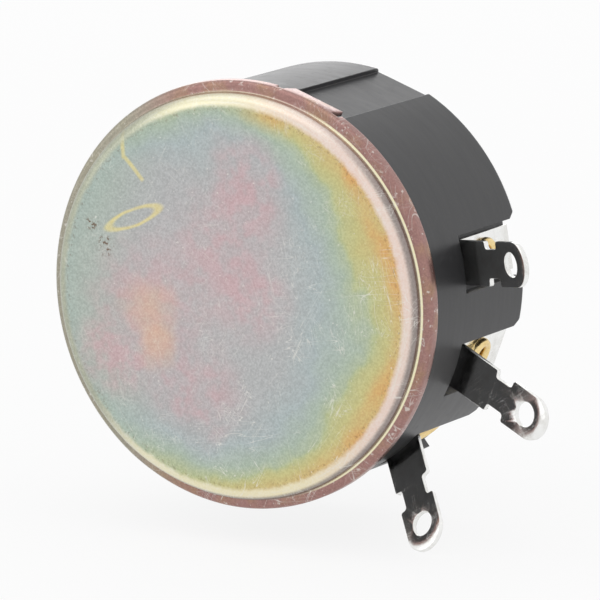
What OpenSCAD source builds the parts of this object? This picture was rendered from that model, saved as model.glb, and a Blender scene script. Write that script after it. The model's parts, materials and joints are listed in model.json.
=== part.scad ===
// Single-turn wirewound rotary potentiometer for panel mounting.
// Every module is drawn with Z as the depth behind the panel face, so the
// shaft runs towards -Z and the rear cover lies at +Z. Angles are those seen
// by someone who looks at the rear cover. in_row() turns a finished piece
// into the stored frame: shaft along +Y, rear cover towards -Y, Z up.

/* [Housing] */
// Outer diameter of the moulded housing
housing_d = 41.3; // [40:0.1:42]
// Depth from the panel face to the rear rim of the housing
housing_depth = 21; // [20:0.1:23]
// Thickness of the round wall
housing_wall = 3.6; // [3.2:0.1:4]
// Thickness of the front wall, which the bushing is moulded into
front_wall = 2.5; // [2:0.1:3]
// Radius of the moulded edge round the panel face
front_edge_r = 0.8; // [0.4:0.1:1.2]
// Direction of the middle terminal, seen from the rear
terminal_angle = -20.5; // [-45:0.5:45]
// Angle between neighbouring terminals
terminal_pitch = 30.5; // [29:0.5:34]

/* [Terminal pockets] */
// Width of the pocket that a terminal lies in
pocket_w = 5.8; // [5.2:0.1:6.4]
// Length of the pocket, open at the panel face
pocket_len = 12.6; // [12.2:0.1:14]
// Distance from the shaft axis to the flat floor of the pocket
pocket_floor = 18.7; // [18.5:0.1:19]
// Chamfer where a pocket's sides meet the panel face
pocket_chamfer = 1.6; // [0.8:0.1:2]

/* [Crimp recesses] */
// Width of the flat channel under each cover tab
recess_w = 6.3; // [6.1:0.1:7]
// Depth of that channel at its sides
recess_depth = 0.5; // [0.3:0.05:0.8]
// Angle from the middle terminal to the first channel
recess_angle = 90.7; // [85:0.1:95]

/* [Rear cover] */
// Outer diameter of the skirt
cover_d = 43; // [42.6:0.1:44]
// Sheet thickness
cover_t = 0.5; // [0.4:0.05:0.6]
// Length of the skirt that laps over the housing
skirt_len = 1.5; // [1.2:0.1:2.5]
// Diameter of the raised face at its straight wall
face_d = 40.8; // [39:0.1:41]
// Height of the raised face above the flange
face_step = 1.65; // [1.4:0.05:2.5]
// Radius of the edge between the face and its wall
face_edge_r = 1.3; // [0.8:0.05:1.3]
// Radius between the flange and the skirt
flange_edge_r = 0.5; // [0.45:0.05:0.6]
// Width of a crimp tab
tab_w = 5.7; // [4.5:0.1:6]
// Length of a crimp tab past the skirt
tab_len = 2; // [1.2:0.1:3]
// Inward lean of a crimp tab
tab_lean = 9; // [0:1:14]

/* [Terminals] */
// Thickness of the terminal strip
strip_t = 0.5; // [0.4:0.05:0.6]
// Width of the terminal strip
strip_w = 4.5; // [4:0.1:5]
// Width of the neck between the strip and the eye
neck_w = 2.9; // [2.4:0.1:3.4]
// Depth behind the panel face at which the strip bends outwards
bend_depth = 9.8; // [9:0.1:10.5]
// Inside radius of the bend
bend_r = 0.6; // [0.4:0.1:0.9]
// Length of the full-width part of the outer leg
shank_len = 5.8; // [5:0.1:7]
// Length of the neck
neck_len = 2.3; // [1.8:0.1:3]
// Distance from the neck to the centre of the eye
eye_from_neck = 2.7; // [2.3:0.1:3.2]
// Diameter of the eye that a wire is soldered into
eye_d = 2.5; // [1.8:0.1:2.8]
// Distance from the centre of the eye to the tip
tip_from_eye = 2.9; // [2.4:0.1:3.2]
// How far each outer leg leans towards the rear: first, middle, last
lean_first = 34; // [10:1:45]
// Lean of the middle terminal
lean_middle = 17; // [10:1:45]
// Lean of the last terminal
lean_last = 32; // [10:1:45]

/* [Rivets] */
// Depth of the rivets behind the panel face
rivet_depth = 5.4; // [4.6:0.1:6]
// Outer diameter of the tubular rivet
rivet_d = 2.4; // [2:0.1:2.6]
// Diameter of the hole through the rivet
rivet_hole_d = 1.5; // [1:0.1:1.6]
// Diameter of the rolled head
rivet_head_d = 3.5; // [3.2:0.1:3.8]
// Height of the rolled head
rivet_head_h = 0.7; // [0.5:0.05:0.9]

/* [Bushing and shaft] */
// Thread diameter of the bushing
bushing_d = 10; // [9:0.1:10.5]
// Length of the bushing in front of the panel face
bushing_len = 8; // [7.5:0.1:12]
// Diameter of the bushing's flange inside the housing
bushing_flange_d = 14; // [12:0.1:16]
// Thickness of that flange
bushing_flange_t = 1; // [0.8:0.1:1.4]
// Shaft diameter
shaft_d = 6; // [5.5:0.05:6.4]
// Length of the shaft in front of the panel face
shaft_len = 20; // [16:0.5:30]
// Radial running clearance of the shaft in the bushing
shaft_clearance = 0.03; // [0.02:0.01:0.06]
// Width of the driver slot in the shaft's end
slot_w = 1; // [0.8:0.1:1.4]
// Depth of that slot
slot_depth = 1.4; // [1:0.1:2.5]
// Chamfer on the shaft's end
shaft_chamfer = 0.5; // [0.3:0.1:0.8]

/* [Panel hardware] */
// Nut width across its flats
nut_flats = 14; // [13:0.5:16]
// Nut thickness
nut_t = 2.5; // [2:0.1:3]
// Outer diameter of the toothed lock washer
washer_d = 15; // [14:0.5:18]
// Thickness of the lock washer
washer_t = 0.6; // [0.4:0.1:0.8]
// Number of its inner teeth
washer_teeth = 10; // [8:1:14]
// Distance from the shaft axis to the locating peg
peg_radius = 12.5; // [11:0.1:14]
// Diameter of the locating peg
peg_d = 2.8; // [2:0.1:3]
// Length of the locating peg
peg_len = 2.2; // [1.5:0.1:3]

/* [Resistance element] */
// Height of the wound card
card_h = 9; // [8:0.1:10]
// Thickness of the card's fibre core
card_t = 1; // [0.8:0.1:1.2]
// Diameter of the resistance wire
wire_d = 0.3; // [0.2:0.05:0.4]
// Number of turns drawn along the card
turns = 72; // [48:4:96]
// Angle from a terminal to the near end of the card
card_end_gap = 9; // [8:0.5:11]
// Space between the winding and the housing's wall
card_wall_gap = 1.3; // [1.2:0.1:1.8]

/* [Rotor] */
// Diameter of the moulded hub
hub_d = 15; // [14:0.1:17]
// Height of the hub
hub_h = 9.6; // [9:0.1:10.5]
// Thickness of the contact arm's spring strip
arm_t = 0.4; // [0.3:0.05:0.5]
// Width of the contact arm at the hub
arm_w = 6; // [5:0.1:7]
// Diameter of the contact brush
brush_d = 2.4; // [2:0.1:2.6]
// Half of the shaft's travel
half_travel = 140; // [120:1:142]
// Outer diameter of the slip ring
slip_d = 11; // [10.5:0.1:12]
// Thickness of the slip ring
slip_t = 0.8; // [0.6:0.1:1]

/* [Hidden] */
$fn = 96;

terminals = [terminal_angle + terminal_pitch, terminal_angle, terminal_angle - terminal_pitch];
leans = [lean_first, lean_middle, lean_last];
housing_r = housing_d / 2;
cavity_r = housing_r - housing_wall;
cover_r = cover_d / 2;
// Under the nut and in the wall the bushing has the radius of its thread's root
core_r = bushing_d / 2 - 0.3;
thread_start = washer_t + nut_t + 0.2;
flange_z = housing_depth + cover_t;
skirt_z = flange_z - skirt_len;
face_z = flange_z + face_step;
face_wall_r = face_d / 2;
fillet_r = 0.25;
strip_start = 0.1;
eye_x = shank_len + neck_len + eye_from_neck;
tab_inset = 0.25;
tab_root = 0.7;
tab_overlap = 0.1;
notch_w = 0.8;
flat_clearance = 0.05;
play = 0.1;

// The rotor is drawn with its contact arm opposite the middle terminal
rotor_angle = terminal_angle + 180;
thrust_t = 0.5;
thrust_z = front_wall + bushing_flange_t;
hub_z = thrust_z + thrust_t + play;
hub_top = hub_z + hub_h;
hub_bore_r = shaft_d / 2 - 0.6;
card_r = cavity_r - card_wall_gap - wire_d;
card_mid_r = card_r - card_t / 2;
card_z = front_wall + 2.3;
winding_top = card_z + card_h + wire_d;
brush_len = 1.4;
arm_z = winding_top + flat_clearance + brush_len;
slip_z = arm_z + arm_t;
washer_stack_t = 0.4;
collector_z = slip_z + slip_t + flat_clearance;
collector_t = 0.4;
clamp_t = 0.4;
foot_half = 6.5;

// Angles round the shaft that the two stops take up, with a degree to spare
stop_half = 20;
lug_half = 180 - half_travel - stop_half - 1.5;
stop_r = hub_d / 2 + 2.2;

function arc_points(cx, cy, r, a0, a1, n = 8) =
    [for (i = [0 : n]) [cx + r * cos(a0 + (a1 - a0) * i / n), cy + r * sin(a0 + (a1 - a0) * i / n)]];

module in_row() {
    rotate([90, 0, 0]) children();
}

// Turns a piece from the +X direction to an angle round the shaft
module at_angle(a) {
    rotate([0, 0, a]) children();
}

module ring(r_out, r_in, h, z = 0) {
    translate([0, 0, z]) difference() {
        cylinder(r = r_out, h = h);
        translate([0, 0, -1]) cylinder(r = r_in, h = h + 2);
    }
}

// A plain sector of a ring, from angle a0 to angle a1
module ring_sector(r_out, r_in, h, z, a0, a1) {
    translate([0, 0, z]) rotate([0, 0, a0]) rotate_extrude(angle = a1 - a0)
        translate([r_in, 0]) square([r_out - r_in, h]);
}

// Stamped cover: raised face, flange and skirt as one sheet
module cover_section() {
    wall_in = face_wall_r - cover_t;
    edge_in = face_edge_r - cover_t;
    rim_in = flange_edge_r - 0.4;
    polygon(concat(
        [[0, face_z], [0, face_z - cover_t]],
        arc_points(wall_in - edge_in, face_z - face_edge_r, edge_in, 90, 0),
        arc_points(wall_in + fillet_r + cover_t, flange_z - cover_t + fillet_r + cover_t,
                   fillet_r + cover_t, 180, 270),
        arc_points(cover_r - cover_t - rim_in, flange_z - cover_t - rim_in, rim_in, 90, 0, 4),
        [[cover_r - cover_t, skirt_z], [cover_r, skirt_z]],
        arc_points(cover_r - flange_edge_r, flange_z - flange_edge_r, flange_edge_r, 0, 90),
        arc_points(face_wall_r + fillet_r, flange_z + fillet_r, fillet_r, 270, 180),
        arc_points(face_wall_r - face_edge_r, face_z - face_edge_r, face_edge_r, 0, 90)
    ));
}

// Crimp tab: a flat strip whose root lies in the skirt and which leans in past its edge
module crimp_tab() {
    in_x = cover_r - cover_t - tab_inset;
    out_x = in_x + cover_t;
    fold_z = skirt_z + tab_overlap;
    tip = [in_x - tab_len * sin(tab_lean), fold_z - tab_len * cos(tab_lean)];
    rotate([90, 0, 0]) translate([0, 0, -tab_w / 2]) linear_extrude(tab_w)
        polygon([[in_x, fold_z + tab_root], [in_x, fold_z], tip,
                 tip + cover_t * [cos(tab_lean), -sin(tab_lean)],
                 [out_x, fold_z - cover_t * tan(tab_lean / 2)], [out_x, fold_z + tab_root]]);
}

module rear_cover() {
    color("khaki") in_row() {
        difference() {
            rotate_extrude() cover_section();
            // relief notches beside each tab
            for (s = [0, 180], side = [-1, 1])
                at_angle(terminal_angle + recess_angle + s)
                    translate([cover_r - 1, side * (tab_w + notch_w + 2 * tab_overlap) / 2 - notch_w / 2, skirt_z - 1])
                        cube([2, notch_w, 1 + tab_root]);
        }
        for (s = [0, 180])
            at_angle(terminal_angle + recess_angle + s) crimp_tab();
    }
}

module housing_section() {
    polygon(concat(
        [[core_r, 0]],
        arc_points(housing_r - front_edge_r, front_edge_r, front_edge_r, 270, 360),
        [[housing_r, housing_depth], [cavity_r, housing_depth],
         [cavity_r, front_wall], [core_r, front_wall]]
    ));
}

// Pocket open at the panel face, with a chamfer at its front corners
module terminal_pocket() {
    translate([pocket_floor, -pocket_w / 2, -1]) cube([5, pocket_w, pocket_len + 1]);
    translate([housing_r + 0.3, 0, -0.01]) rotate([0, -90, 0])
        linear_extrude(housing_r + 0.3 - pocket_floor - 0.6)
            polygon([[0, -pocket_w / 2 - pocket_chamfer * 0.6], [0, pocket_w / 2 + pocket_chamfer * 0.6],
                     [pocket_chamfer, pocket_w / 2], [pocket_chamfer, -pocket_w / 2]]);
}

// The flat channel under a crimp tab runs the whole depth of the housing
module crimp_channel() {
    half = asin(recess_w / 2 / housing_r);
    floor_x = (housing_r - recess_depth) * cos(half);
    translate([floor_x, -recess_w / 2, -1]) cube([5, recess_w, housing_depth + 2]);
}

module housing() {
    color("dimgray") in_row() {
        difference() {
            union() {
                rotate_extrude() housing_section();
                // moulded stop for the rotor
                ring_sector(stop_r + 2, hub_d / 2 + 0.4, 5, front_wall - 0.1,
                            terminal_angle - stop_half, terminal_angle + stop_half);
                // ledge that the wound card stands on
                ring_sector(cavity_r + 0.1, card_mid_r - 1.4, card_z - wire_d - front_wall + 0.1, front_wall - 0.1,
                            terminals[0] + card_end_gap, terminals[2] - card_end_gap + 360);
                // locating peg on the panel face
                at_angle(terminal_angle + 180) translate([peg_radius, 0, -peg_len])
                    cylinder(d = peg_d, h = peg_len + 0.5, $fn = 48);
            }
            for (a = terminals) at_angle(a) {
                terminal_pocket();
                translate([cavity_r - 1, 0, rivet_depth]) rotate([0, 90, 0])
                    cylinder(d = rivet_d, h = 6, $fn = 48);
            }
            for (s = [0, 180]) at_angle(terminal_angle + recess_angle + s) crimp_channel();
        }
    }
}

// Side view of a terminal: the leg in the pocket, the bend and the outer leg
module terminal_profile(lean) {
    bend = [pocket_floor + strip_t + bend_r, bend_depth];
    across = [-sin(lean), cos(lean)];
    along = (eye_x + tip_from_eye + 1) * [cos(lean), sin(lean)];
    polygon(concat(
        [[pocket_floor, strip_start], [pocket_floor + strip_t, strip_start]],
        arc_points(bend[0], bend[1], bend_r, 180, 90 + lean),
        [bend + bend_r * across + along, bend + (bend_r + strip_t) * across + along],
        arc_points(bend[0], bend[1], bend_r + strip_t, 90 + lean, 180)
    ));
}

// What is cut away round the tip, with X along the outer leg
module tip_cut() {
    r = strip_w / 2;
    arc = arc_points(eye_x + tip_from_eye - r, 0, r, 90, -90, 16);
    last = len(arc) - 1;
    far_x = eye_x + tip_from_eye + 3;
    polygon(concat(
        [2 * arc[0] - arc[1]],
        [for (i = [1 : last - 1]) arc[i]],
        [2 * arc[last] - arc[last - 1], [far_x, -r - 2], [far_x, r + 2]]
    ));
}

// L-shaped strip: one leg flat in the pocket, a bend, and a leg with neck and eye
module terminal(lean) {
    cut_t = strip_t + 2;
    difference() {
        rotate([90, 0, 0]) translate([0, 0, -strip_w / 2])
            linear_extrude(strip_w) terminal_profile(lean);
        translate([pocket_floor - 1, 0, rivet_depth]) rotate([0, 90, 0])
            cylinder(d = rivet_d, h = cut_t, $fn = 48);
        translate([pocket_floor + strip_t + bend_r, 0, bend_depth]) rotate([0, -lean, 0])
            translate([0, 0, bend_r - 1]) {
                for (side = [neck_w / 2, -neck_w / 2 - strip_w])
                    translate([shank_len, side, 0]) cube([neck_len, strip_w, cut_t]);
                translate([eye_x, 0, 0]) cylinder(d = eye_d, h = cut_t, $fn = 48);
                linear_extrude(cut_t) tip_cut();
            }
    }
}

module terminal_n(i) {
    color("gainsboro") in_row() at_angle(terminals[i]) terminal(leans[i]);
}
module terminal_1() { terminal_n(0); }
module terminal_2() { terminal_n(1); }
module terminal_3() { terminal_n(2); }

// Tubular rivet from inside the wall to its rolled head on the terminal
module rivet(inner_x) {
    outer_x = pocket_floor + strip_t;
    mid_r = (rivet_head_d / 2 + rivet_hole_d / 2) / 2;
    roll_r = (rivet_head_d - rivet_hole_d) / 4;
    translate([0, 0, rivet_depth]) rotate([0, 90, 0]) rotate_extrude($fn = 64) {
        translate([rivet_hole_d / 2, inner_x - 0.3])
            square([(rivet_d - rivet_hole_d) / 2, outer_x - inner_x + 0.4]);
        // inner flange
        translate([rivet_hole_d / 2, inner_x - 0.3]) square([(rivet_head_d - rivet_hole_d) / 2, 0.3]);
        // rolled outer head
        intersection() {
            translate([mid_r, outer_x + rivet_head_h - roll_r * 0.9]) circle(r = roll_r, $fn = 32);
            translate([0, outer_x]) square([rivet_head_d, rivet_head_h + 1]);
        }
        translate([rivet_hole_d / 2, outer_x]) square([(rivet_head_d - rivet_hole_d) / 2, 0.25]);
    }
}

// Where a rivet's flat inner flange meets the curved strip inside the wall
function rivet_seat(t) = sqrt(pow(cavity_r - t, 2) - pow(rivet_head_d / 2, 2)) - 0.02;

module rivet_n(i) {
    color("goldenrod") in_row() at_angle(terminals[i]) rivet(rivet_seat(i == 1 ? collector_t : clamp_t));
}
module terminal_rivet_1() { rivet_n(0); }
module terminal_rivet_2() { rivet_n(1); }
module terminal_rivet_3() { rivet_n(2); }

// Threaded bushing with its flange inside the housing and a plain bore
module bushing() {
    bore_r = shaft_d / 2 + shaft_clearance;
    color("silver") in_row() rotate_extrude()
        polygon([[bore_r, -bushing_len], [bushing_d / 2 - 0.5, -bushing_len],
                 [bushing_d / 2, -bushing_len + 0.5], [bushing_d / 2, -thread_start],
                 [core_r, -thread_start], [core_r, front_wall],
                 [bushing_flange_d / 2, front_wall], [bushing_flange_d / 2, thrust_z], [bore_r, thrust_z]]);
}

// Lock washer with teeth that point inwards
module lock_washer() {
    clear_r = bushing_d / 2 + 0.1;
    color("silver") in_row() translate([0, 0, -washer_t]) difference() {
        cylinder(d = washer_d, h = washer_t);
        translate([0, 0, -1]) cylinder(r = clear_r, h = washer_t + 2);
        for (i = [0 : washer_teeth - 1]) rotate([0, 0, 360 * i / washer_teeth])
            translate([clear_r - 0.3, -0.55, -1]) cube([1.2, 1.1, washer_t + 2]);
    }
}

module hex_nut() {
    corner_r = nut_flats / 2 / cos(30);
    nut_z = -washer_t - nut_t;
    color("silver") in_row() difference() {
        intersection() {
            translate([0, 0, nut_z]) cylinder(r = corner_r, h = nut_t, $fn = 6);
            // both faces are turned down to a circle at the corners
            rotate_extrude() polygon([[0, nut_z], [nut_flats / 2, nut_z], [corner_r, nut_z + 0.5],
                                      [corner_r, -washer_t - 0.5], [nut_flats / 2, -washer_t], [0, -washer_t]]);
        }
        translate([0, 0, nut_z - 1]) cylinder(r = core_r, h = nut_t + 2);
    }
}

ring_gap = 0.2;
ring_t = 0.6;
groove_w = ring_t + 0.2;
ring_groove_r = shaft_d / 2 - 0.5;

// Shaft with a driver slot, a ring groove and a stepped tail inside the hub
module shaft() {
    r = shaft_d / 2;
    groove_z = -bushing_len - ring_gap;
    color("silver") in_row() difference() {
        rotate_extrude()
            polygon([[0, -shaft_len], [r - shaft_chamfer, -shaft_len], [r, -shaft_len + shaft_chamfer],
                     [r, groove_z - groove_w], [ring_groove_r, groove_z - groove_w], [ring_groove_r, groove_z],
                     [r, groove_z], [r, hub_z], [hub_bore_r, hub_z], [hub_bore_r, arm_z + arm_t + slip_t],
                     [0, arm_z + arm_t + slip_t]]);
        at_angle(rotor_angle) translate([-shaft_d, -slot_w / 2, -shaft_len - 1])
            cube([shaft_d * 2, slot_w, slot_depth + 1]);
    }
}

// Open ring that keeps the shaft in the bushing
module retaining_ring() {
    color("dimgray") in_row() translate([0, 0, -bushing_len - ring_gap - ring_t]) difference() {
        cylinder(r = shaft_d / 2 + 1.1, h = ring_t);
        translate([0, 0, -1]) cylinder(r = ring_groove_r, h = ring_t + 2);
        at_angle(rotor_angle) translate([0, -ring_groove_r * 0.8, -1])
            cube([shaft_d, ring_groove_r * 1.6, ring_t + 2]);
    }
}

module thrust_washer() {
    color("peru") in_row()
        ring(bushing_flange_d / 2 - 0.5, shaft_d / 2 + 0.15, thrust_t, thrust_z);
}

// Moulded hub with the lug that meets the housing's stop
module rotor_hub() {
    color("saddlebrown") in_row() {
        ring(hub_d / 2, hub_bore_r, hub_h, hub_z);
        ring_sector(stop_r, hub_d / 2 - 0.2, 2.6, hub_z,
                    rotor_angle - lug_half, rotor_angle + lug_half);
        // seat that lifts the contact arm to the height of the brush
        ring(hub_d / 2 - 1.5, hub_bore_r, arm_z - hub_top, hub_top);
    }
}

// Spring strip that carries the brush, cranked past the hub
module wiper_arm() {
    reach = card_mid_r;
    color("goldenrod") in_row() at_angle(rotor_angle) difference() {
        translate([0, 0, arm_z]) linear_extrude(arm_t) union() {
            circle(r = slip_d / 2 + 0.3, $fn = 64);
            polygon([[0, -arm_w / 2], [reach, -brush_d / 2 - 0.4],
                     [reach, brush_d / 2 + 0.4], [0, arm_w / 2]]);
            translate([reach, 0]) circle(r = brush_d / 2 + 0.4, $fn = 48);
        }
        translate([0, 0, arm_z - 1]) cylinder(r = hub_bore_r, h = arm_t + 2, $fn = 64);
        translate([reach, 0, arm_z - 1]) cylinder(d = brush_d - 0.8, h = arm_t + 2, $fn = 48);
    }
}

// Carbon brush with a spigot that is pressed into the arm
module contact_brush() {
    color("darkslategray") in_row() at_angle(rotor_angle) translate([card_mid_r, 0, 0]) {
        translate([0, 0, winding_top + flat_clearance]) cylinder(d = brush_d, h = brush_len, $fn = 48);
        translate([0, 0, arm_z]) cylinder(d = brush_d - 0.8, h = arm_t + 0.3, $fn = 48);
    }
}

module slip_ring() {
    color("gold") in_row() ring(slip_d / 2, hub_bore_r, slip_t, slip_z);
}

// Washer over the slip ring that the shaft's tail is riveted onto
module arm_washer() {
    color("silver") in_row()
        ring(hub_bore_r + 1, hub_bore_r - 1, washer_stack_t, slip_z + slip_t);
}

module card_sector(r_out, r_in, h, z) {
    ring_sector(r_out, r_in, h, z, terminals[0] + card_end_gap, terminals[2] - card_end_gap + 360);
}

// Fibre card bent to a C, the core of the resistance element
module winding_card() {
    color("sienna") in_row() card_sector(card_r, card_r - card_t, card_h, card_z);
}

// Wire turns round the card: grooves part the turns at the edge the brush runs on
module resistance_winding() {
    start = terminals[0] + card_end_gap + 3;
    span = 360 - 2 * (terminal_pitch + card_end_gap + 3);
    color("darkgoldenrod") in_row() difference() {
        translate([0, 0, card_z - wire_d]) rotate([0, 0, start]) rotate_extrude(angle = span)
            difference() {
                translate([card_r - card_t - wire_d, 0]) square([card_t + 2 * wire_d, card_h + 2 * wire_d]);
                translate([card_r - card_t, wire_d]) square([card_t, card_h]);
            }
        for (i = [1 : turns - 1]) at_angle(start + span * i / turns)
            translate([card_r - card_t - 2 * wire_d, -wire_d / 4, card_z + card_h + wire_d / 2])
                cube([card_t + 4 * wire_d, wire_d / 2, wire_d]);
    }
}

// Strip that clamps an end of the element: a curved foot under the terminal's
// rivet, and a tongue that meets the end of the card
module end_clamp() {
    foot_h = 4;
    in_r = cavity_r - clamp_t;
    tongue_x = card_r - card_t;
    turned = card_end_gap;
    difference() {
        translate([0, 0, rivet_depth - foot_h / 2]) linear_extrude(foot_h) polygon(concat(
            arc_points(0, 0, cavity_r, -foot_half, turned, 12),
            [tongue_x * [cos(turned), sin(turned)],
             [tongue_x * cos(turned) + clamp_t * sin(turned), tongue_x * sin(turned) - clamp_t * cos(turned)]],
            arc_points(0, 0, in_r, turned - asin(clamp_t / in_r), -foot_half, 12)
        ));
        translate([cavity_r - 2, 0, rivet_depth]) rotate([0, 90, 0])
            cylinder(d = rivet_d, h = 4, $fn = 48);
    }
}
module end_clamp_1() { color("gold") in_row() at_angle(terminals[0]) end_clamp(); }
module end_clamp_3() { color("gold") in_row() at_angle(terminals[2]) mirror([0, 1, 0]) end_clamp(); }

// Spring strip from the middle rivet up the wall and across to the slip ring
module collector_spring() {
    strip_half = (cavity_r - collector_t) * sin(foot_half);
    color("gold") in_row() at_angle(terminal_angle) difference() {
        union() {
            // curved leg up the round wall
            ring_sector(cavity_r, cavity_r - collector_t, collector_z + collector_t - rivet_depth + 2,
                        rivet_depth - 2, -foot_half, foot_half);
            translate([0, 0, collector_z]) linear_extrude(collector_t) {
                circle(d = slip_d, $fn = 64);
                translate([0, -strip_half]) square([cavity_r * cos(foot_half) - collector_t / 2, strip_half * 2]);
            }
        }
        translate([cavity_r - 2, 0, rivet_depth]) rotate([0, 90, 0])
            cylinder(d = rivet_d, h = 3, $fn = 48);
        // opening round the riveted end of the shaft
        translate([0, 0, collector_z - 1]) cylinder(r = hub_bore_r + 1.3, h = collector_t + 2, $fn = 64);
    }
}

rear_cover();
housing();
terminal_1();
terminal_2();
terminal_3();
terminal_rivet_1();
terminal_rivet_2();
terminal_rivet_3();
bushing();
lock_washer();
hex_nut();
shaft();
retaining_ring();
thrust_washer();
rotor_hub();
slip_ring();
wiper_arm();
arm_washer();
contact_brush();
winding_card();
resistance_winding();
end_clamp_1();
end_clamp_3();
collector_spring();
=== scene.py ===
import bmesh
import bpy
import json
import math
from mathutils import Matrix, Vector, noise


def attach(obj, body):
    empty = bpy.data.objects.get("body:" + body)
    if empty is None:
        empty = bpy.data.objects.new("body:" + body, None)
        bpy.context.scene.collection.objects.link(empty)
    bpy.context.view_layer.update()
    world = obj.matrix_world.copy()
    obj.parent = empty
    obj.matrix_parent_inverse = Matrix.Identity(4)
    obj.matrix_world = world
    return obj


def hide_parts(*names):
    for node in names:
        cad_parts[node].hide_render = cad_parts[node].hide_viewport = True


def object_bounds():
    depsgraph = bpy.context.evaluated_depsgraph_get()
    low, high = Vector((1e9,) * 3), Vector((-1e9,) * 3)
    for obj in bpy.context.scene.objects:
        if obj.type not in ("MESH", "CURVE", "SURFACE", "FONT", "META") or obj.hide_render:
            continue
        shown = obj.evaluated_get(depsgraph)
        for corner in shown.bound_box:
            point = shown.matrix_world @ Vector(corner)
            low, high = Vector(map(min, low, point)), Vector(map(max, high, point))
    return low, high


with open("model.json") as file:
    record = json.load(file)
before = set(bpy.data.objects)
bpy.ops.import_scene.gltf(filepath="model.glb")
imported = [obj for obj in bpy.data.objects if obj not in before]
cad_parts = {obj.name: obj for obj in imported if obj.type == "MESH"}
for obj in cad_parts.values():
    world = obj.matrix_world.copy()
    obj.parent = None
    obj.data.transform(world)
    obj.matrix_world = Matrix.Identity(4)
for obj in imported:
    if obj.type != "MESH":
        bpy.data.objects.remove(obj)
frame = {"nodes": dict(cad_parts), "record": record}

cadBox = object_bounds()
print("potentiometer: frame loaded")

# finishes


def pick(sockets, key):
    if isinstance(key, int):
        return sockets[key]
    return next(s for s in sockets if key in (s.identifier, s.name))


class Wire:                                    # a socket that can be used in sums
    def __init__(self, finish, socket):
        self.finish, self.socket = finish, socket

    def __add__(self, other):
        return self.finish.math("ADD", self, other)

    def __radd__(self, other):
        return self.finish.math("ADD", other, self)

    def __sub__(self, other):
        return self.finish.math("SUBTRACT", self, other)

    def __rsub__(self, other):
        return self.finish.math("SUBTRACT", other, self)

    def __mul__(self, other):
        return self.finish.math("MULTIPLY", self, other)

    def __truediv__(self, other):
        return self.finish.math("DIVIDE", self, other)

    def __pow__(self, other):
        return self.finish.math("POWER", self, other)


class Finish:                                  # one material, drawn in millimetres of the row frame
    def __init__(self, name, metal, rough, soften):
        self.material = bpy.data.materials.new(name)
        self.material.use_nodes = True
        self.tree = self.material.node_tree
        self.shader = self.tree.nodes["Principled BSDF"]
        self.shader.inputs["Metallic"].default_value = metal
        self.shader.inputs["Roughness"].default_value = rough
        place = self.node("ShaderNodeTexCoord", out="Object")
        self.place = self.node("ShaderNodeVectorMath", {"operation": "SCALE"}, {0: place, "Scale": 1000.0})
        self.x, self.y, self.z = [
            self.node("ShaderNodeSeparateXYZ", values={0: self.place}, out=i) for i in range(3)]
        self.radius = (self.x * self.x + self.z * self.z) ** 0.5
        self.turn = self.math("ARCTAN2", self.z, self.x)
        self.rounded = self.node("ShaderNodeBevel", {"samples": 6}, {"Radius": soften / 1000})
        self.flat = self.node("ShaderNodeNewGeometry", out="Normal")

    def node(self, kind, settings=None, values=None, out=0):
        made = self.tree.nodes.new(kind)
        for key, setting in (settings or {}).items():
            if key == "stops":
                ramp = made.color_ramp.elements
                while len(ramp) < len(setting):
                    ramp.new(1.0)
                for element, (place, colour) in zip(ramp, setting):
                    element.position, element.color = place, (*colour, 1.0)
            else:
                setattr(made, key, setting)
        for key, value in (values or {}).items():
            socket = pick(made.inputs, key)
            if isinstance(value, Wire):
                self.tree.links.new(value.socket, socket)
            elif socket.type == "RGBA":
                socket.default_value = (*value, 1.0)
            else:
                socket.default_value = value
        return Wire(self, pick(made.outputs, out))

    def math(self, operation, a, b=0.0):
        return self.node("ShaderNodeMath", {"operation": operation}, {0: a, 1: b})

    def most(self, *wires):
        found = wires[0]
        for wire in wires[1:]:
            found = self.math("MAXIMUM", found, wire)
        return found

    def step(self, value, low, high):
        return self.node("ShaderNodeMapRange", {"interpolation_type": "SMOOTHSTEP"},
                         {"Value": value, "From Min": low, "From Max": high})

    def mix(self, factor, a, b, blend="MIX"):
        return self.node("ShaderNodeMix", {"data_type": "RGBA", "blend_type": blend},
                         {"Factor_Float": factor, "A_Color": a, "B_Color": b}, "Result_Color")

    def cloud(self, scale, seed, detail=3.0, place=None):
        return self.node("ShaderNodeTexNoise", {"noise_dimensions": "4D"},
                         {"Vector": place or self.place, "W": seed, "Scale": scale, "Detail": detail})

    def vector(self, x, y, z):
        return self.node("ShaderNodeCombineXYZ", values={0: x, 1: y, 2: z})

    def stretch(self, a, b, c):
        return self.vector(self.x * a, self.y * b, self.z * c)

    def lined(self, angle, x=0.0, z=0.0):      # distances along and across a line on the face
        c, s = math.cos(math.radians(angle)), math.sin(math.radians(angle))
        dx, dz = self.x - x, self.z - z
        return dx * c + dz * s, dz * c - dx * s

    def scratch(self, angle, length, pitch, seed, width, core=0.3):
        along, across = self.lined(angle)
        field = self.cloud(1.0, seed, 1.0, self.vector(along / length, across / pitch, self.y / length))
        return self.step(self.math("ABSOLUTE", field - 0.5), width, width * core)

    def edges(self, low=0.01, high=0.2):       # where corners are worn
        lean = self.node("ShaderNodeVectorMath", {"operation": "DOT_PRODUCT"},
                         {0: self.rounded, 1: self.flat}, "Value")
        return self.step(1 - lean, low, high)

    def finish(self, colour, rough, height):   # height in millimetres
        bumped = self.node("ShaderNodeBump", values={"Distance": 0.001, "Height": height, "Normal": self.rounded})
        for key, wire in {"Base Color": colour, "Roughness": rough, "Normal": bumped}.items():
            self.tree.links.new(wire.socket, self.shader.inputs[key])
        return self.material


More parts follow.
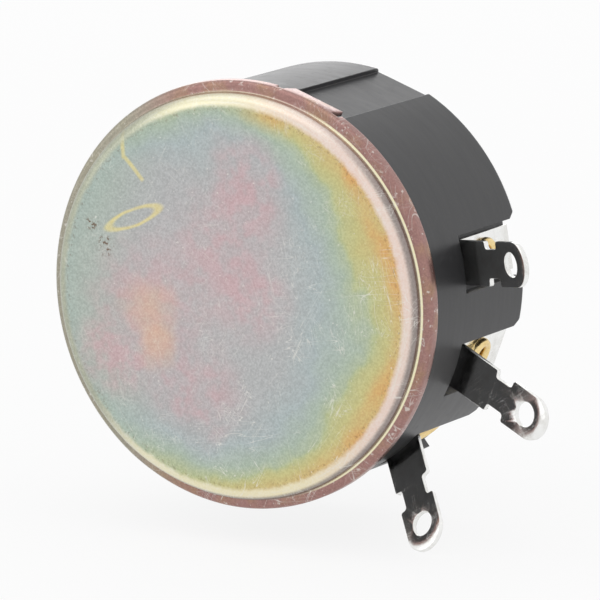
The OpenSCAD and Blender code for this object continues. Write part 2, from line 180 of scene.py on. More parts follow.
# a pair is where a step begins and ends, a share is how much of a colour goes in
plating = {                                    # yellow passivated zinc with its interference colours
    "metal": 0.92, "rough": 0.40, "soften": 0.08,
    "clouds": {                                # scale, seed, detail
        "wide": (0.10, 1.0), "narrow": (0.45, 2.0), "amber": (0.22, 3.0), "drop": (0.9, 4.0), "warm": (0.35, 5.0),
        "milk": (1.1, 6.0, 4.0), "curdle": (0.55, 8.0, 4.0), "grain": (5.5, 9.0, 2.0),
        "speck": (2.6, 16.0, 2.0), "rub": (1.8, 17.0, 4.0), "rust": (3.2, 18.0, 2.0), "rimRust": (4.0, 19.0, 3.0),
        "pebble": (3.5, 20.0, 3.0), "dent": (0.25, 21.0, 1.0),
    },
    "warp": (8, 2.5),
    "film": [(0.0, (0.52, 0.51, 0.51)), (0.50, (0.49, 0.50, 0.50)), (0.62, (0.45, 0.51, 0.51)),
             (0.72, (0.45, 0.53, 0.44)), (0.82, (0.52, 0.56, 0.33)), (0.92, (0.60, 0.56, 0.27)),
             (1.0, (0.66, 0.52, 0.24))],
    "filmCentre": (-5.0, 0.5), "filmReach": 25.5, "filmWarp": 0.9,
    "tide": (19.4, 20.6), "tideShift": 0.07, "nearRim": (16.6, 19.0), "nearRimShift": 0.05,
    "right": (2.0, 15.0), "rightLean": 0.25, "rightWarp": 0.4,
    "left": (-6.0, -15.0), "leftRim": (9.0, 18.0), "leftTint": (0.43, 0.52, 0.44), "leftShare": 0.6,
    "spotWarp": 0.7, "spotCore": 0.15, "curdle": (0.38, 0.62), "curdleSwing": 0.65,
    "pink": (0.63, 0.43, 0.45), "pinkShare": 0.72,
    "pinkSpots": [(-9.0, -1.5, 9.0), (1.5, 11.5, 6.0), (-1.0, 5.5, 8.5), (-13.5, -7.0, 5.5),
                  (-4.0, -10.0, 6.5), (3.0, 0.5, 6.0)],
    "ember": (0.74, 0.50, 0.36), "emberShare": 0.6, "emberSpots": [(-9.3, -1.8, 4.2), (-8.3, -5.0, 3.0)],
    "orange": (0.74, 0.42, 0.16), "orangeShare": 0.85, "amberRim": (17.0, 19.0), "amberWarp": 0.35,
    "amberPatch": (0.36, 0.6),
    "stain": (0.84, 0.72, 0.30), "stainLeast": 0.35, "stainSwing": 0.6,
    "ring": (-11.2, 7.1, 23.0, 3.1, 0.80), "ringWarp": 0.12, "ringWidth": (0.30, 0.05),
    "streaks": [(-12.5, 14.4, 98.0, 1.2), (-11.3, 12.2, -46.0, 1.5)],
    "streakWarp": 0.08, "streakWidth": (0.34, 0.08), "streakFade": 0.4,
    # painted highlight on the rounded edge, with pale streaks along it and darker olive towards the left
    "shoulderHighlight": (18.9, 19.5), "shoulderWarp": 0.5, "shoulderShare": 0.85,
    "roundedEdgeHighlight": (0.90, 0.84, 0.62), "roundedPinkHighlight": (0.86, 0.72, 0.68),
    "hoopPitch": (5.0, 6.0), "hoopNoise": (1.0, 7.0, 2.0), "hoops": (0.52, 0.7), "hoopShare": 0.5,
    "edgeOlive": (0.37, 0.39, 0.30), "olive": (-7.0, -15.0), "oliveLean": 0.15, "oliveShare": 0.85,
    # painted shade on the side wall
    "wallShade": (0.26, 0.23, 0.22), "wall": (19.85, 20.25), "wallLeast": 0.25, "wallSwing": 0.6,
    "lower": (-4.0, 10.0), "lowerLean": 0.7,
    "flange": (0.36, 0.205, 0.185), "flangeRim": (20.42, 20.55),
    "flangeWarm": (0.40, 0.25, 0.16), "warm": (0.45, 0.65), "warmShare": 0.7,
    "flangeOlive": (0.36, 0.37, 0.29), "flangeLeft": (-5.0, -14.0), "flangeOliveShare": 0.8,
    # painted highlight: a thin pale yellow line where the wall meets the flange
    "foot": (0.95, 0.90, 0.62), "footR": 20.52, "footWidth": (0.14, 0.05), "footSide": (6.0, 12.0), "footShare": 0.9,
    "milkTones": ((0.35, 0.35, 0.35), (0.62, 0.62, 0.62)), "milkShare": 0.30,
    "grainTones": ((0.22, 0.22, 0.22), (0.74, 0.74, 0.74)), "grainShare": 0.22, "grain": (0.30, 0.70),
    "bare": (0.86, 0.84, 0.78),
    "scratches": [(62, 9.0, 0.7), (-38, 7.0, 0.8), (8, 10.0, 0.9), (104, 6.0, 0.7), (-75, 8.0, 0.8)],
    "scratchSeed": 11.0, "scratchWidth": 0.007, "patchScale": 0.22, "patchSeed": 81.0, "patch": (0.50, 0.60),
    "worked": (-6.0, 22.0), "workedLeast": 0.4, "workedSwing": 0.6, "scratchShare": 0.55,
    "specks": (0.68, 0.76), "speckShare": 0.45, "rubbed": (0.62, 0.70), "rubbedShare": 0.5, "cornerShare": 0.8,
    "rust": (0.16, 0.09, 0.05), "rustPatch": (0.52, 0.60), "rustShare": 0.8,
    "pits": [(-16.0, 6.2, 0.9), (-14.6, 4.2, 0.8), (-12.7, 14.7, 0.8)],
    "rustIn": (18.4, 18.9), "rustOut": (19.3, 18.9), "rimRust": (0.54, 0.64), "rimRustShare": 0.35,
    "roughLeast": 0.38, "roughMilk": 0.14, "smoothShoulder": 0.14, "smoothFlange": 0.02,
    "pebbleHeight": 0.006, "dentHeight": 0.03, "scratchDepth": 0.003,
}


def platingFinish(p):
    f = Finish("yellowPlating", p["metal"], p["rough"], p["soften"])
    cloud = {name: f.cloud(*values) for name, values in p["clouds"].items()}
    wide, narrow = p["warp"]
    warp = (cloud["wide"] - 0.5) * wide + (cloud["narrow"] - 0.5) * narrow
    right = f.step(f.x + f.z * p["rightLean"] + warp * p["rightWarp"], *p["right"])
    left = f.step(f.x, *p["left"])

    def away(x, z):
        dx, dz = f.x - x, f.z - z
        return (dx * dx + dz * dz) ** 0.5

    def spot(x, z, reach):
        return f.step(away(x, z) + warp * p["spotWarp"], reach, reach * p["spotCore"])

    far = away(*p["filmCentre"]) + warp * p["filmWarp"]
    tide = f.step(far, *p["tide"]) * p["tideShift"]      # the bath's tide mark
    nearRim = f.step(f.radius, *p["nearRim"]) * p["nearRimShift"]
    film = f.node("ShaderNodeValToRGB", {"stops": p["film"]}, {"Fac": far / p["filmReach"] + nearRim + tide})
    colour = f.mix(left * f.step(f.radius, *p["leftRim"]) * p["leftShare"], film, p["leftTint"])
    curdle = (1 - p["curdleSwing"]) + f.step(cloud["curdle"], *p["curdle"]) * p["curdleSwing"]
    for x, z, reach in p["pinkSpots"]:
        colour = f.mix(spot(x, z, reach) * curdle * p["pinkShare"], colour, p["pink"])
    for x, z, reach in p["emberSpots"]:
        colour = f.mix(spot(x, z, reach) * p["emberShare"], colour, p["ember"])
    amber = f.step(f.radius + warp * p["amberWarp"], *p["amberRim"]) * right * f.step(cloud["amber"], *p["amberPatch"])
    colour = f.mix(amber * p["orangeShare"], colour, p["orange"])

    # dried drops
    x, z, angle, long, short = p["ring"]
    along, across = f.lined(angle, x, z)
    u, v = along / long, across / short + warp * p["ringWarp"]
    marks = [f.step(f.math("ABSOLUTE", (u * u + v * v) ** 0.5 - 1), *p["ringWidth"])]
    for x, z, angle, half in p["streaks"]:
        along, across = f.lined(angle, x, z)
        marks.append(f.step(f.math("ABSOLUTE", across + warp * p["streakWarp"]), *p["streakWidth"])
                     * f.step(f.math("ABSOLUTE", along), half + p["streakFade"], half))
    colour = f.mix(f.most(*marks) * (p["stainLeast"] + cloud["drop"] * p["stainSwing"]), colour, p["stain"])

    # rounded edge with a painted highlight, side wall with painted shade, flange, and a painted highlight line where
    # the wall meets the flange
    turnPitch, pitch = p["hoopPitch"]
    hoops = f.cloud(*p["hoopNoise"], f.vector(f.turn * turnPitch, f.radius * pitch, f.y * pitch))
    # painted highlight on the rounded edge: cream at the top, pink-white on the right, pale streaks along it, darker
    # olive towards the left
    shoulderHighlight = f.step(f.radius + (cloud["milk"] - 0.5) * p["shoulderWarp"], *p["shoulderHighlight"])
    edgeHighlightColour = f.mix(right, p["roundedEdgeHighlight"], p["roundedPinkHighlight"])
    edgeHighlightColour = f.mix(f.step(hoops, *p["hoops"]) * p["hoopShare"], edgeHighlightColour, p["bare"])
    olive = f.step(f.x - f.z * p["oliveLean"], *p["olive"])
    edgeHighlightColour = f.mix(olive * p["oliveShare"], edgeHighlightColour, p["edgeOlive"])
    colour = f.mix(shoulderHighlight * p["shoulderShare"], colour, edgeHighlightColour)
    # painted shade: the side wall darkened, most towards the lower right
    lower = f.step(f.x - f.z * p["lowerLean"], *p["lower"])
    shade = f.step(f.radius, *p["wall"]) * (p["wallLeast"] + lower * p["wallSwing"])
    colour = f.mix(shade, colour, p["wallShade"])
    flangeColour = f.mix(f.step(cloud["warm"], *p["warm"]) * p["warmShare"], p["flange"], p["flangeWarm"])
    flangeColour = f.mix(f.step(f.x, *p["flangeLeft"]) * p["flangeOliveShare"], flangeColour, p["flangeOlive"])
    flangeMask = f.step(f.radius, *p["flangeRim"])
    colour = f.mix(flangeMask, colour, flangeColour)
    # painted highlight: a thin pale yellow line where the wall meets the flange, on the right side
    foot = f.step(f.math("ABSOLUTE", f.radius - p["footR"]), *p["footWidth"]) * f.step(f.x, *p["footSide"])
    colour = f.mix(foot * p["footShare"], colour, p["foot"])
    colour = f.mix(p["milkShare"], colour, f.mix(cloud["milk"], *p["milkTones"]), "OVERLAY")
    grain = f.step(cloud["grain"], *p["grain"])
    colour = f.mix(p["grainShare"], colour, f.mix(grain, *p["grainTones"]), "OVERLAY")

    # wear: scratches, specks and pits
    lines = f.most(*[
        f.scratch(*mark, p["scratchSeed"] + k, p["scratchWidth"])
        * f.step(f.cloud(p["patchScale"], p["patchSeed"] + k, 1.0), *p["patch"])
        for k, mark in enumerate(p["scratches"])])
    lines = lines * (p["workedLeast"] + f.step(f.x - f.z, *p["worked"]) * p["workedSwing"])
    specks = f.step(cloud["speck"], *p["specks"])
    rubbed = flangeMask * f.step(cloud["rub"], *p["rubbed"])
    worn = f.most(lines * p["scratchShare"], specks * p["speckShare"], rubbed * p["rubbedShare"],
                  f.edges() * p["cornerShare"])
    colour = f.mix(worn, colour, p["bare"])
    pits = f.step(cloud["rust"], *p["rustPatch"]) * f.most(*[spot(*pit) for pit in p["pits"]])
    rim = f.step(f.radius, *p["rustIn"]) * f.step(f.radius, *p["rustOut"]) * f.step(cloud["rimRust"], *p["rimRust"])
    colour = f.mix(f.most(pits * p["rustShare"], rim * p["rimRustShare"]), colour, p["rust"])

    rough = (p["roughLeast"] + cloud["milk"] * p["roughMilk"]
             - shoulderHighlight * p["smoothShoulder"] - flangeMask * p["smoothFlange"])
    height = cloud["pebble"] * p["pebbleHeight"] + cloud["dent"] * p["dentHeight"] - lines * p["scratchDepth"]
    return f.finish(colour, rough, height)


moulded = {
    "rough": 0.40, "soften": 0.16, "dust": (1.6, 31.0, 4.0), "dustPatch": (0.54, 0.72), "dustShare": 0.35,
    "grain": (7.0, 32.0, 2.0), "grainShare": 0.2, "flow": (1.0, 33.0, 3.0), "flowPitch": (0.22, 0.9, 0.22),
    "corners": (0.01, 0.25), "cornerShare": 0.6, "roughLeast": 0.34, "roughFlow": 0.12, "roughDust": 0.06,
    "grainHeight": 0.004, "flowHeight": 0.02,
}


def mouldedFinish(m, name, dark, pale):
    f = Finish(name, 0.0, m["rough"], m["soften"])
    dust = f.step(f.cloud(*m["dust"]), *m["dustPatch"])
    grain = f.cloud(*m["grain"])
    flow = f.cloud(*m["flow"], f.stretch(*m["flowPitch"]))
    share = dust * m["dustShare"] + grain * m["grainShare"] + f.edges(*m["corners"]) * m["cornerShare"]
    rough = m["roughLeast"] + flow * m["roughFlow"] + dust * m["roughDust"]
    return f.finish(f.mix(share, dark, pale), rough, grain * m["grainHeight"] + flow * m["flowHeight"])


rolled = {
    "soften": 0.1, "patches": (0.6, 41.0, 4.0), "patch": (0.40, 0.68), "tarnishShare": 0.45,
    "grain": (9.0, 42.0, 2.0), "scratches": ((35, 3.0, 0.25, 43.0), (-52, 3.0, 0.25, 44.0)), "width": 0.03,
    "scratched": (0.8, 45.0), "scratchPatch": (0.42, 0.60), "scratchShare": 0.35, "cornerShare": 0.4, "brighter": 1.15,
    "roughPatch": 0.10, "roughGrain": 0.05, "roughDrop": 0.04,
    "grainHeight": 0.002, "waves": (0.8, 46.0, 2.0), "waveHeight": 0.012, "scratchDepth": 0.004,
}


def rolledFinish(r, name, base, tarnish, rough):
    f = Finish(name, 1.0, rough, r["soften"])
    patch = f.step(f.cloud(*r["patches"]), *r["patch"])
    grain = f.cloud(*r["grain"])
    lines = f.most(*[f.scratch(*mark, r["width"]) for mark in r["scratches"]])
    lines = lines * f.step(f.cloud(*r["scratched"]), *r["scratchPatch"])
    colour = f.mix(patch * r["tarnishShare"], base, tarnish)
    bright = [min(1.0, c * r["brighter"]) for c in base]
    colour = f.mix(lines * r["scratchShare"] + f.edges() * r["cornerShare"], colour, bright)
    wear = rough + patch * r["roughPatch"] + grain * r["roughGrain"] - r["roughDrop"]
    waves = f.cloud(*r["waves"]) * r["waveHeight"]
    return f.finish(colour, wear, grain * r["grainHeight"] + waves - lines * r["scratchDepth"])


turned = {
    "soften": 0.08, "rings": (1.0, 51.0, 2.0), "patches": (0.5, 52.0, 4.0), "patch": (0.42, 0.70),
    "tarnishShare": 0.4, "ringShare": 0.25, "cornerShare": 0.4, "brighter": 1.12,
    "roughRings": 0.10, "roughPatch": 0.06, "roughDrop": 0.05, "ringHeight": 0.004,
}


def turnedFinish(t, name, base, tarnish, rough, pitch):
    f = Finish(name, 1.0, rough, t["soften"])
    rings = f.cloud(*t["rings"], f.vector(f.radius * pitch, f.y * pitch, 0.0))
    patch = f.step(f.cloud(*t["patches"]), *t["patch"])
    colour = f.mix(patch * t["tarnishShare"], base, tarnish)
    bright = [min(1.0, c * t["brighter"]) for c in base]
    colour = f.mix(rings * t["ringShare"] + f.edges() * t["cornerShare"], colour, bright)
    wear = rough + rings * t["roughRings"] + patch * t["roughPatch"] - t["roughDrop"]
    return f.finish(colour, wear, rings * t["ringHeight"])


pressed = {
    "rough": 0.75, "soften": 0.08, "strands": (1.0, 61.0, 4.0), "pitch": (2.0, 9.0, 2.0), "strand": (0.3, 0.7),
    "specks": (5.0, 62.0, 3.0), "roughLeast": 0.70, "roughSpecks": 0.1, "strandHeight": 0.01, "speckHeight": 0.005,
}


def pressedFinish(p, name, dark, pale):
    f = Finish(name, 0.0, p["rough"], p["soften"])
    strands = f.cloud(*p["strands"], f.stretch(*p["pitch"]))
    specks = f.cloud(*p["specks"])
    height = strands * p["strandHeight"] + specks * p["speckHeight"]
    return f.finish(f.mix(f.step(strands, *p["strand"]), dark, pale), p["roughLeast"] + specks * p["roughSpecks"], height)


wound = {
    "rough": 0.35, "soften": 0.05, "turns": 308, "patches": (0.7, 71.0, 3.0), "crest": (0.05, 0.5),
    "swing": 0.25, "roughLeast": 0.28, "roughPatch": 0.15, "height": 0.05,
}


def woundFinish(w, name, bright, gap):
    f = Finish(name, 1.0, w["rough"], w["soften"])
    wave = f.math("SINE", f.turn * w["turns"]) * 0.5 + 0.5
    patch = f.cloud(*w["patches"])
    colour = f.mix(f.step(wave, *w["crest"]) * ((1 - w["swing"]) + patch * w["swing"]), gap, bright)
    return f.finish(colour, w["roughLeast"] + patch * w["roughPatch"], wave * w["height"])


finishes = {
    "cover_plating": platingFinish(plating),
    "phenolic": mouldedFinish(moulded, "blackPhenolic", (0.026, 0.026, 0.028), (0.060, 0.060, 0.062)),
    "silvered": rolledFinish(rolled, "silveredStrip", (0.86, 0.86, 0.845), (0.62, 0.60, 0.55), 0.17),
    "brass_rivet": rolledFinish(rolled, "rivetBrass", (0.86, 0.67, 0.33), (0.55, 0.36, 0.14), 0.22),
    "nickel": turnedFinish(turned, "nickelPlate", (0.76, 0.74, 0.69), (0.55, 0.52, 0.45), 0.24, 9.0),
    "zinc_steel": rolledFinish(rolled, "zincSteel", (0.72, 0.74, 0.77), (0.50, 0.53, 0.58), 0.32),
    "shaft_steel": turnedFinish(turned, "turnedShaft", (0.74, 0.74, 0.74), (0.52, 0.50, 0.46), 0.26, 14.0),
    "spring_steel": rolledFinish(rolled, "springSteel", (0.17, 0.17, 0.19), (0.10, 0.09, 0.08), 0.38),
    "fibre": pressedFinish(pressed, "redFibre", (0.22, 0.09, 0.05), (0.40, 0.20, 0.12)),
    "hub_plastic": mouldedFinish(moulded, "brownPhenolic", (0.07, 0.03, 0.016), (0.13, 0.07, 0.04)),
    "bronze": rolledFinish(rolled, "springBronze", (0.80, 0.55, 0.30), (0.50, 0.28, 0.14), 0.26),
    "carbon": mouldedFinish(moulded, "carbonBrush", (0.02, 0.02, 0.022), (0.07, 0.07, 0.075)),
    "wire": woundFinish(wound, "resistanceWire", (0.66, 0.58, 0.46), (0.10, 0.08, 0.06)),
}
for part in frame["record"]["subparts"]:
    node = frame["nodes"][part["node"]]
    node.data.materials.clear()
    node.data.materials.append(finishes[part["material_slot"]])
print("potentiometer: finishes made")

# pieces, in millimetres

terminalAngles = {"1": 10.0, "2": -20.5, "3": -51.0}


def rowPoint(x, y, z, angle=0.0):              # x outwards, y across, z behind the panel face
    c, s = math.cos(math.radians(angle)), math.sin(math.radians(angle))
    return Vector((x * c - y * s, -z, x * s + y * c)) / 1000


def arc(cx, cy, r, a0, a1, n):
    angles = [math.radians(a0 + (a1 - a0) * i / n) for i in range(n + 1)]
    return [(cx + r * math.cos(a), cy + r * math.sin(a)) for a in angles]


def circle(cx, r, corners):
    return arc(cx, 0.0, r, 0, 360 - 360 / corners, corners - 1)


def addPiece(name, mesh, slotName, stands, sharp=None, sheet=None, corner=None, cornerAngle=50):
    data = bpy.data.meshes.new(name)
    mesh.to_mesh(data)
    mesh.free()
    data.polygons.foreach_set("use_smooth", [True] * len(data.polygons))
    piece = bpy.data.objects.new(name, data)
    bpy.context.collection.objects.link(piece)
    if sheet:
        thick = piece.modifiers.new("sheet", "SOLIDIFY")
        thick.thickness, thick.offset = sheet / 1000, -1.0
        soft = piece.modifiers.new("corner", "BEVEL")
        soft.width, soft.segments, soft.limit_method = corner / 1000, 2, "ANGLE"
        soft.angle_limit = math.radians(cornerAngle)
        even = piece.modifiers.new("even", "WEIGHTED_NORMAL")
        even.weight, even.keep_sharp = 100, True
    made = bpy.data.meshes.new_from_object(piece.evaluated_get(bpy.context.evaluated_depsgraph_get()))
    piece.modifiers.clear()
    piece.data = made
    made.materials.append(finishes[slotName])
    if sharp:
        made.set_sharp_from_angle(angle=math.radians(sharp))
    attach(piece, "body")
    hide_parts(*stands)


def faceOut(mesh, test):                       # test(face) is positive where the normal is right
    bmesh.ops.recalc_face_normals(mesh, faces=mesh.faces)
    if sum(test(face) for face in mesh.faces) < 0:
        bmesh.ops.reverse_faces(mesh, faces=mesh.faces)


def closedRings(mesh, grid):                   # a ring of closed outlines, each joined to the next
    for i, column in enumerate(grid):
        other = grid[(i + 1) % len(grid)]
        for k in range(len(column)):
            m = (k + 1) % len(column)
            mesh.faces.new((column[k], column[m], other[m], other[k]))
    bmesh.ops.recalc_face_normals(mesh, faces=mesh.faces)
    return mesh


cover = {
    "skirtR": 21.5, "wallR": 20.4, "flangeDepth": 21.5, "faceDepth": 23.15, "skirtDepth": 20.0,
    "edgeR": 1.3, "edgeRows": 9, "flangeEdgeR": 0.55, "flangeRows": 5, "filletR": 0.25, "filletRows": 4,
    "sheet": 0.5, "corner": 0.06, "faceRings": (2, 5, 8, 11, 14, 16.5, 18), "rimColumns": 108,
    "tabs": (70.2, 250.2), "tabHalf": 2.85, "tabX": 21.25, "tabLen": 1.95, "tabLean": 9.0, "tabColumns": 4, "tabRows": 5,
    "notch": 0.9, "notchTop": 20.7, "notchRow": 20.35, "slack": 0.01,
    "wave": 0.035, "wavePitch": 0.11, "waveDepthPitch": 0.2, "waveFrom": 18.5, "waveSpread": 30,
    "waveBehind": 21.2, "waveSkirt": 0.3,
}


def coverSheet(c):
    half = math.degrees(math.asin(c["tabHalf"] / c["skirtR"]))
    outer = math.degrees(math.asin((c["tabHalf"] + c["notch"]) / c["skirtR"]))
    inside = half + c["slack"]
    steps = c["tabColumns"]
    offsets = [-outer] + [half * i / steps for i in range(-steps, steps + 1)] + [outer]
    columns = []                               # angle, and offset from its tab or None
    for i, tab in enumerate(c["tabs"]):
        columns += [(tab + o, o) for o in offsets]
        gap = (c["tabs"][1 - i] - tab) % 360 - 2 * outer
        columns += [(tab + outer + gap * k / c["rimColumns"], None) for k in range(1, c["rimColumns"])]
    face, wall, rim, edge, fillet, fold = [
        c[key] for key in ("faceDepth", "wallR", "flangeDepth", "edgeR", "filletR", "flangeEdgeR")]
    profile = [(r, face) for r in c["faceRings"]]
    profile += arc(wall - edge, face - edge, edge, 90, 0, c["edgeRows"])
    profile += arc(wall + fillet, rim + fillet, fillet, 180, 270, c["filletRows"])
    profile += arc(c["skirtR"] - fold, rim - fold, fold, 90, 0, c["flangeRows"])
    firstCut = len(profile)                    # the rows from here on are cut away beside a tab
    profile += [(c["skirtR"], depth) for depth in (c["notchTop"], c["notchRow"], c["skirtDepth"])]

    def place(r, depth, angle):
        x, y = r * math.cos(math.radians(angle)), r * math.sin(math.radians(angle))
        spot = Vector((x * c["wavePitch"], y * c["wavePitch"], depth * c["waveDepthPitch"]))
        wobble = noise.noise(spot) * c["wave"]
        if r > c["waveFrom"]:
            x, y = x * (1 + wobble / c["waveSpread"]), y * (1 + wobble / c["waveSpread"])
        return rowPoint(x, y, depth + wobble * (1 if depth > c["waveBehind"] else c["waveSkirt"]))

    mesh = bmesh.new()
    lean = math.radians(c["tabLean"])
    grid = []
    for angle, offset in columns:
        column = [mesh.verts.new(place(r, depth, angle)) for r, depth in profile]
        if offset is not None and abs(offset) <= inside:
            tab, across = angle - offset, c["skirtR"] * math.sin(math.radians(offset))
            for k in range(c["tabRows"] + 1):
                run = c["tabLen"] * k / c["tabRows"]
                x, depth = c["tabX"] - run * math.sin(lean), c["skirtDepth"] - run * math.cos(lean)
                if k == 0:
                    column[-1].co = (column[-1].co + rowPoint(x, across, depth, tab)) / 2
                else:
                    column.append(mesh.verts.new(rowPoint(x, across, depth, tab)))
        grid.append(column)
    pole = mesh.verts.new(rowPoint(0, 0, face))
    for i, column in enumerate(grid):
        other = grid[(i + 1) % len(grid)]
        pair = columns[i][1], columns[(i + 1) % len(grid)][1]
        notched = None not in pair and max(abs(offset) for offset in pair) > inside
        mesh.faces.new((pole, column[0], other[0]))
        for k in range(min(len(column), len(other)) - 1):
            if not (notched and k >= firstCut):
                mesh.faces.new((column[k], column[k + 1], other[k + 1], other[k]))
    bmesh.ops.delete(mesh, geom=[v for v in mesh.verts if not v.link_faces], context="VERTS")
    faceOut(mesh, lambda f: -f.normal.y * f.calc_area())
    return mesh


addPiece("stampedCover", coverSheet(cover), "cover_plating", ["rear_cover"], sheet=cover["sheet"],
         corner=cover["corner"])
print("potentiometer: cover made")

lug = {
    "floor": 18.7, "start": 0.1, "thick": 0.5, "corner": 0.07, "width": 4.5, "bendDepth": 9.8, "bendR": 0.6,
    "bendRows": 12, "shank": 5.8, "neck": 2.3, "neckWidth": 2.9, "neckR": 0.35, "neckRows": 4,
    "eyeFromNeck": 2.7, "eyeR": 1.25, "tipFromEye": 2.9, "tipRows": 14, "rivetDepth": 5.4, "rivetR": 1.2,
    "holeCorners": 36, "leans": {"1": 34.0, "2": 17.0, "3": 32.0},
}


def lugSheet(l, angle, lean):
    legIn = l["bendDepth"] - l["start"]
    outR = l["bendR"] + l["thick"]
    turn = math.radians(90 - lean)
    base = legIn + outR * turn                 # where the outer leg begins, along the strip
    w, n, q = l["width"] / 2, l["neckWidth"] / 2, l["neckR"]
    neckA, neckB = base + l["shank"], base + l["shank"] + l["neck"]
    eye = neckB + l["eyeFromNeck"]
    tip = eye + l["tipFromEye"] - w
    side = [(0.0, w), (neckA - q * 0.5, w), (neckA, w - q * 0.5)]
    side += arc(neckA + q, n + q, q, 180, 270, l["neckRows"]) + arc(neckB - q, n + q, q, 270, 360, l["neckRows"])
    side += [(neckB, w - q * 0.5), (neckB + q * 0.5, w)] + arc(tip, 0.0, w, 90, 0, l["tipRows"])
    loops = [side + [(s, -t) for s, t in reversed(side[:-1])], circle(eye, l["eyeR"], l["holeCorners"]),
             circle(l["rivetDepth"] - l["start"], l["rivetR"], l["holeCorners"])]
    mesh = bmesh.new()
    rim = []
    for points in loops:
        verts = [mesh.verts.new((s, t, 0.0)) for s, t in points]
        rim += [mesh.edges.new((a, b)) for a, b in zip(verts, verts[1:] + verts[:1])]
    bmesh.ops.triangle_fill(mesh, edges=rim, use_beauty=True)
    for k in range(l["bendRows"] + 1):
        cut = legIn + outR * turn * k / l["bendRows"]
        bmesh.ops.bisect_plane(mesh, geom=mesh.verts[:] + mesh.edges[:] + mesh.faces[:],
                               plane_co=(cut, 0, 0), plane_no=(1, 0, 0))
    cx, cz = l["floor"] + l["thick"] + l["bendR"], l["bendDepth"]
    for v in mesh.verts:
        s, t = v.co.x, v.co.y
        if s <= legIn:
            x, z = l["floor"], l["start"] + s
        else:
            a = math.pi - min(turn, (s - legIn) / outR)
            run = max(0.0, s - base)
            x = cx + outR * math.cos(a) + run * math.cos(math.radians(lean))
            z = cz + outR * math.sin(a) + run * math.sin(math.radians(lean))
        v.co = rowPoint(x, t, z, angle)
    inward = -rowPoint(1, 0, 0, angle)
    legEnd = -l["bendDepth"] / 1000
    faceOut(mesh, lambda f: f.normal.dot(inward) * f.calc_area() if f.calc_center_median().y > legEnd else 0.0)
    return mesh


for key, angle in terminalAngles.items():
    addPiece("solderLug" + key, lugSheet(lug, angle, lug["leans"][key]), "silvered", ["terminal_" + key],
             sheet=lug["thick"], corner=lug["corner"])

rivet = {
    "depth": 5.4, "holeR": 0.75, "bodyR": 1.2, "headR": 1.75, "underHead": 0.03, "seat": 16.538, "flange": 0.3,
    "top": 19.2, "slack": 0.01, "rollAt": 19.45, "rollR": 0.5, "rollRows": 12, "columns": 72,
    "petals": 6, "petal": 0.035, "petalPower": 3,
}


def rivetBody(r, angle, seed):
    profile = [(r["holeR"], r["seat"] - r["flange"]), (r["headR"], r["seat"] - r["flange"]),
               (r["headR"], r["seat"]), (r["bodyR"], r["seat"]), (r["bodyR"], r["top"]),
               (r["headR"] - r["underHead"], r["top"])]
    profile += arc((r["headR"] + r["holeR"]) / 2, r["rollAt"], r["rollR"], 0, 180, r["rollRows"])
    mesh = bmesh.new()
    grid = []
    for i in range(r["columns"]):
        a = math.tau * i / r["columns"]
        petal = abs(math.sin(a * r["petals"] / 2 + seed))
        column = []
        for radius, x in profile:
            if x > r["top"] - r["slack"] and radius > r["bodyR"]:
                radius *= 1 - r["petal"] * (1 - petal) ** r["petalPower"]
            column.append(mesh.verts.new(rowPoint(x, radius * math.cos(a), r["depth"] + radius * math.sin(a), angle)))
        grid.append(column)
    return closedRings(mesh, grid)


for key, angle in terminalAngles.items():
    addPiece("tubularRivet" + key, rivetBody(rivet, angle, angle), "brass_rivet", ["terminal_rivet_" + key], sharp=35.0)
print("potentiometer: lugs and rivets made")

bushing = {
    "outR": 5.0, "coreR": 4.7, "boreR": 3.03, "front": 8.0, "chamfer": 0.5, "start": 3.3, "back": 2.5,
    "flangeR": 7.0, "flange": 1.0, "pitch": 0.75, "thread": 0.42, "flank": 1.25, "crest": 0.12,
    "runOutFrom": 0.3, "runOut": 0.5, "columns": 96, "rowsPerTurn": 10,
}


def threadedBushing(b):
    first, last, end = b["front"] - b["chamfer"], b["start"], b["back"] + b["flange"]
    rows = int((first - last) / b["pitch"] * b["rowsPerTurn"])
    profile = [(b["boreR"], -b["front"], 0), (b["outR"] - b["chamfer"], -b["front"], 0)]
    profile += [(b["outR"], -first + (first - last) * k / rows, 1) for k in range(rows + 1)]
    profile += [(b["coreR"], -last, 0), (b["coreR"], b["back"], 0), (b["flangeR"], b["back"], 0),
                (b["flangeR"], end, 0), (b["boreR"], end, 0)]
    mesh = bmesh.new()
    grid = []
    for i in range(b["columns"]):
        turn = i / b["columns"]
        column = []
        for radius, depth, cut in profile:
            if cut:
                phase = (depth / b["pitch"] - turn) % 1.0
                groove = min(1.0, max(0.0, b["flank"] * (1 - abs(2 * phase - 1)) - b["crest"]))
                ends = min(1.0, (first + depth + b["runOutFrom"]) / b["runOut"])
                radius -= b["thread"] * groove * max(0.0, ends)
            column.append(mesh.verts.new(rowPoint(radius, 0, depth, 360 * turn)))
        grid.append(column)
    return closedRings(mesh, grid)


addPiece("threadedBushing", threadedBushing(bushing), "nickel", ["bushing"], sharp=28.0)
print("potentiometer: bushing made")

# stage, lights and camera

stage = {"floorHalf": 6.0, "gap": 0.0002, "floor": (0.93, 0.93, 0.93), "floorRough": 0.9, "cameraWhite": 0.86}
sky = {
    "stops": [(0.0, 0.45), (0.46, 0.50), (0.62, 0.62), (1.0, 0.80)], "blue": 1.01,
    "seen": (1.0, 1.0, 1.0, 1.0),
}
lamps = {
    "overheadBox": {"place": (-0.12, -0.10, 0.55), "size": 0.60, "watts": 0.45},
    "leftBox": {"place": (-0.50, -0.45, 0.20), "size": 0.45, "watts": 0.25},
    "backPanel": {"place": (-0.42, 0.72, 0.26), "size": 0.42, "watts": 0.7},
}
photoCamera = {
    "place": (0.32089, -0.57544, 0.12172), "azimuth": 29.55, "elevation": 10.80, "lens": 395.5, "sensor": 36.0,
    "clip": (0.01, 50.0),
}


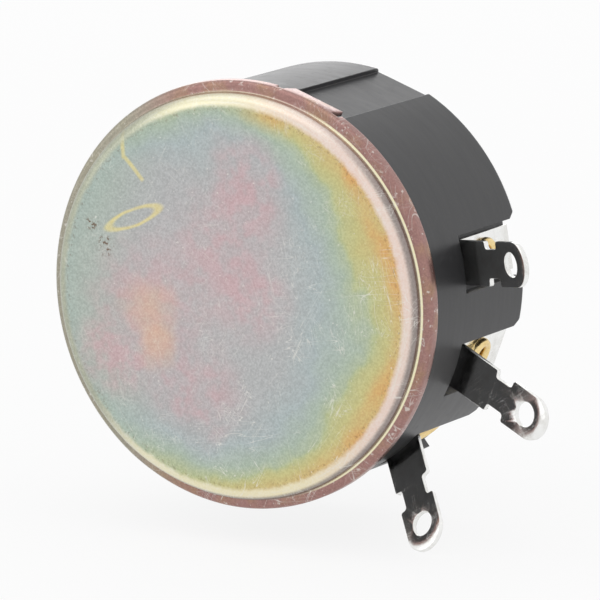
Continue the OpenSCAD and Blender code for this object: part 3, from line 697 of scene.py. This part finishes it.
def seenDirectly(tree):                        # the ray comes from the camera, a mirror or glass
    path = tree.nodes.new("ShaderNodeLightPath")
    seen = path.outputs["Is Camera Ray"]
    for ray in ("Is Glossy Ray", "Is Transmission Ray"):
        either = tree.nodes.new("ShaderNodeMath")
        either.operation = "MAXIMUM"
        tree.links.new(seen, either.inputs[0])
        tree.links.new(path.outputs[ray], either.inputs[1])
        seen = either.outputs[0]
    return seen


floorMesh = bpy.data.meshes.new("floor")
h, low = stage["floorHalf"], cadBox[0].z - stage["gap"]
floorMesh.from_pydata([(-h, -h, low), (h, -h, low), (h, h, low), (-h, h, low)], [], [(0, 1, 2, 3)])
floor = bpy.data.objects.new("floor", floorMesh)
bpy.context.collection.objects.link(floor)
paper = bpy.data.materials.new("palePaper")
paper.use_nodes = True
tree = paper.node_tree
plain = tree.nodes["Principled BSDF"]
plain.inputs["Base Color"].default_value = (*stage["floor"], 1.0)
plain.inputs["Roughness"].default_value = stage["floorRough"]
glow, blend, share = [
    tree.nodes.new(kind) for kind in ("ShaderNodeEmission", "ShaderNodeMixShader", "ShaderNodeMath")]
share.operation = "MULTIPLY"
share.inputs[1].default_value = stage["cameraWhite"]
tree.links.new(seenDirectly(tree), share.inputs[0])
tree.links.new(share.outputs[0], blend.inputs[0])
tree.links.new(plain.outputs[0], blend.inputs[1])
tree.links.new(glow.outputs[0], blend.inputs[2])
tree.links.new(blend.outputs[0], tree.nodes["Material Output"].inputs["Surface"])
floorMesh.materials.append(paper)

world = bpy.data.worlds.new("studio")
bpy.context.scene.world = world
world.use_nodes = True
tree = world.node_tree
coords, split, lift, ramp, blend = [tree.nodes.new(kind) for kind in (
    "ShaderNodeTexCoord", "ShaderNodeSeparateXYZ", "ShaderNodeMath", "ShaderNodeValToRGB", "ShaderNodeMix")]
lift.operation = "MULTIPLY_ADD"                # from -1..1 to 0..1
lift.inputs[1].default_value = lift.inputs[2].default_value = 0.5
blend.data_type = "RGBA"
for i, (place, level) in enumerate(sky["stops"]):
    element = ramp.color_ramp.elements[i] if i < 2 else ramp.color_ramp.elements.new(place)
    element.position, element.color = place, (level, level, level * sky["blue"], 1.0)
tree.links.new(coords.outputs["Generated"], split.inputs[0])
tree.links.new(split.outputs["Z"], lift.inputs[0])
tree.links.new(lift.outputs[0], ramp.inputs["Fac"])
tree.links.new(seenDirectly(tree), pick(blend.inputs, "Factor_Float"))
tree.links.new(ramp.outputs["Color"], pick(blend.inputs, "A_Color"))
pick(blend.inputs, "B_Color").default_value = sky["seen"]
tree.links.new(pick(blend.outputs, "Result_Color"), tree.nodes["Background"].inputs["Color"])

for name, lamp in lamps.items():
    data = bpy.data.lights.new(name, "AREA")
    data.size, data.energy = lamp["size"], lamp["watts"]
    light = bpy.data.objects.new(name, data)
    light.location = lamp["place"]
    light.rotation_euler = (-light.location).to_track_quat("-Z", "Y").to_euler()
    bpy.context.collection.objects.link(light)

data = bpy.data.cameras.new("photoCamera")
data.lens, data.sensor_width = photoCamera["lens"], photoCamera["sensor"]
data.clip_start, data.clip_end = photoCamera["clip"]
view = bpy.data.objects.new("photoCamera", data)
view.location = photoCamera["place"]
view.rotation_euler = (math.radians(90 - photoCamera["elevation"]), 0, math.radians(photoCamera["azimuth"]))
bpy.context.collection.objects.link(view)
bpy.context.scene.camera = view
bpy.context.scene.view_settings.view_transform = "Standard"
print("potentiometer: stage set")
